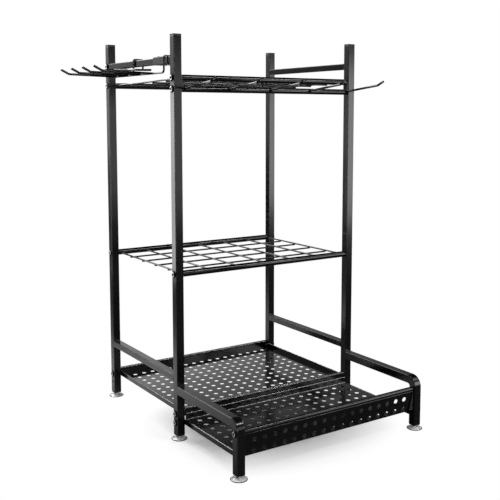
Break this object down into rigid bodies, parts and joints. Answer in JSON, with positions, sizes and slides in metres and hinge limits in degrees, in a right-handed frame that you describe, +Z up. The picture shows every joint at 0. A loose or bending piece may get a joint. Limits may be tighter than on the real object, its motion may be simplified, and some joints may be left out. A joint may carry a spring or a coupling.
{
  "type": "garden tool rack",
  "caption": "Free-standing rack for garden tools: posts with wire grids, drilled lower trays, front hooks, a sliding side hook bar and levelling feet.",
  "frame": {"origin": "middle of the bounding box, on the floor", "axes": "+X to the rack's right as seen from its front, +Y from the front tray to the back posts, +Z up; the hook bar hangs on the left (-X) side"},
  "size_m": [0.7618, 0.7244, 1.044],
  "materials": {
    "black_frame_coat": "semi-gloss powder coat on steel tube",
    "black_wire_coat": "satin powder coat on steel wire",
    "black_tray_coat": "glossy powder coat on folded sheet steel",
    "black_plastic": "matt moulded",
    "gloss_black_bolts": "gloss black",
    "zinc_plate": "zinc plated",
    "chrome_feet": "bright, with a satin rim",
    "soft_sleeve": "dipped vinyl"
  },
  "bodies": {
    "frame": {"post_lower_front_left": "black_frame_coat", "post_lower_front_right": "black_frame_coat", "post_lower_back_left": "black_frame_coat", "post_lower_back_right": "black_frame_coat", "post_upper_front_left": "black_frame_coat", "post_upper_front_right": "black_frame_coat", "post_upper_back_left": "black_frame_coat", "post_upper_back_right": "black_frame_coat", "post_spigots": "black_frame_coat", "post_caps": "black_plastic", "crossbar_left": "black_frame_coat", "crossbar_right": "black_frame_coat", "side_rail_left": "black_frame_coat", "side_rail_right": "black_frame_coat", "leg_tube_left": "black_frame_coat", "leg_tube_right": "black_frame_coat", "tube_plugs": "black_plastic", "mid_shelf_rails": "black_frame_coat", "mid_shelf_cross_wires": "black_wire_coat", "mid_shelf_long_wires": "black_wire_coat", "top_shelf_rails": "black_frame_coat", "top_shelf_cross_wires": "black_wire_coat", "top_shelf_long_wires": "black_wire_coat", "hook_rail": "black_frame_coat", "end_plate_left": "black_frame_coat", "end_plate_right": "black_frame_coat", "front_hook_1": "black_wire_coat", "front_hook_2": "black_wire_coat", "front_hook_3": "black_wire_coat", "front_hook_4": "black_wire_coat", "front_hook_5": "black_wire_coat", "back_tray_floor": "black_tray_coat", "back_tray_side_lips": "black_tray_coat", "back_tray_end_lips": "black_tray_coat", "front_tray_floor": "black_tray_coat", "front_tray_side_flanges": "black_tray_coat", "front_tray_rear_lip": "black_tray_coat", "front_panel": "black_tray_coat", "front_panel_rail": "black_frame_coat", "shelf_bolts": "gloss_black_bolts", "tray_bolts": "gloss_black_bolts", "tray_nuts": "zinc_plate"},
    "hook_bar": {"hook_bar_hanger_near": "black_wire_coat", "hook_bar_hanger_far": "black_wire_coat", "hook_bar_wire": "black_wire_coat", "hook_bar_brace": "black_wire_coat", "hook_bar_prongs": "black_wire_coat", "hook_bar_sleeves": "soft_sleeve", "hook_bar_collar": "black_plastic", "hook_bar_screws": "zinc_plate"},
    "foot_front_left": {"foot_front_left": "chrome_feet"},
    "foot_front_right": {"foot_front_right": "chrome_feet"},
    "foot_back_left": {"foot_back_left": "chrome_feet"},
    "foot_back_right": {"foot_back_right": "chrome_feet"},
    "foot_leg_left": {"foot_leg_left": "chrome_feet"},
    "foot_leg_right": {"foot_leg_right": "chrome_feet"}
  },
  "joints": [
    {"name": "hook_bar_slide", "type": "slide", "parent": "frame", "child": "hook_bar", "axis": [0, 1, 0], "range_m": [-0.004, 0.165]},
    {"name": "foot_front_left_screw", "type": "slide", "parent": "frame", "child": "foot_front_left", "axis": [0, 0, -1], "range_m": [-0.003, 0.012]},
    {"name": "foot_front_right_screw", "type": "slide", "parent": "frame", "child": "foot_front_right", "axis": [0, 0, -1], "range_m": [-0.003, 0.012]},
    {"name": "foot_back_left_screw", "type": "slide", "parent": "frame", "child": "foot_back_left", "axis": [0, 0, -1], "range_m": [-0.003, 0.012]},
    {"name": "foot_back_right_screw", "type": "slide", "parent": "frame", "child": "foot_back_right", "axis": [0, 0, -1], "range_m": [-0.003, 0.012]},
    {"name": "foot_leg_left_screw", "type": "slide", "parent": "frame", "child": "foot_leg_left", "axis": [0, 0, -1], "range_m": [-0.003, 0.012]},
    {"name": "foot_leg_right_screw", "type": "slide", "parent": "frame", "child": "foot_leg_right", "axis": [0, 0, -1], "range_m": [-0.003, 0.012]}
  ]
}
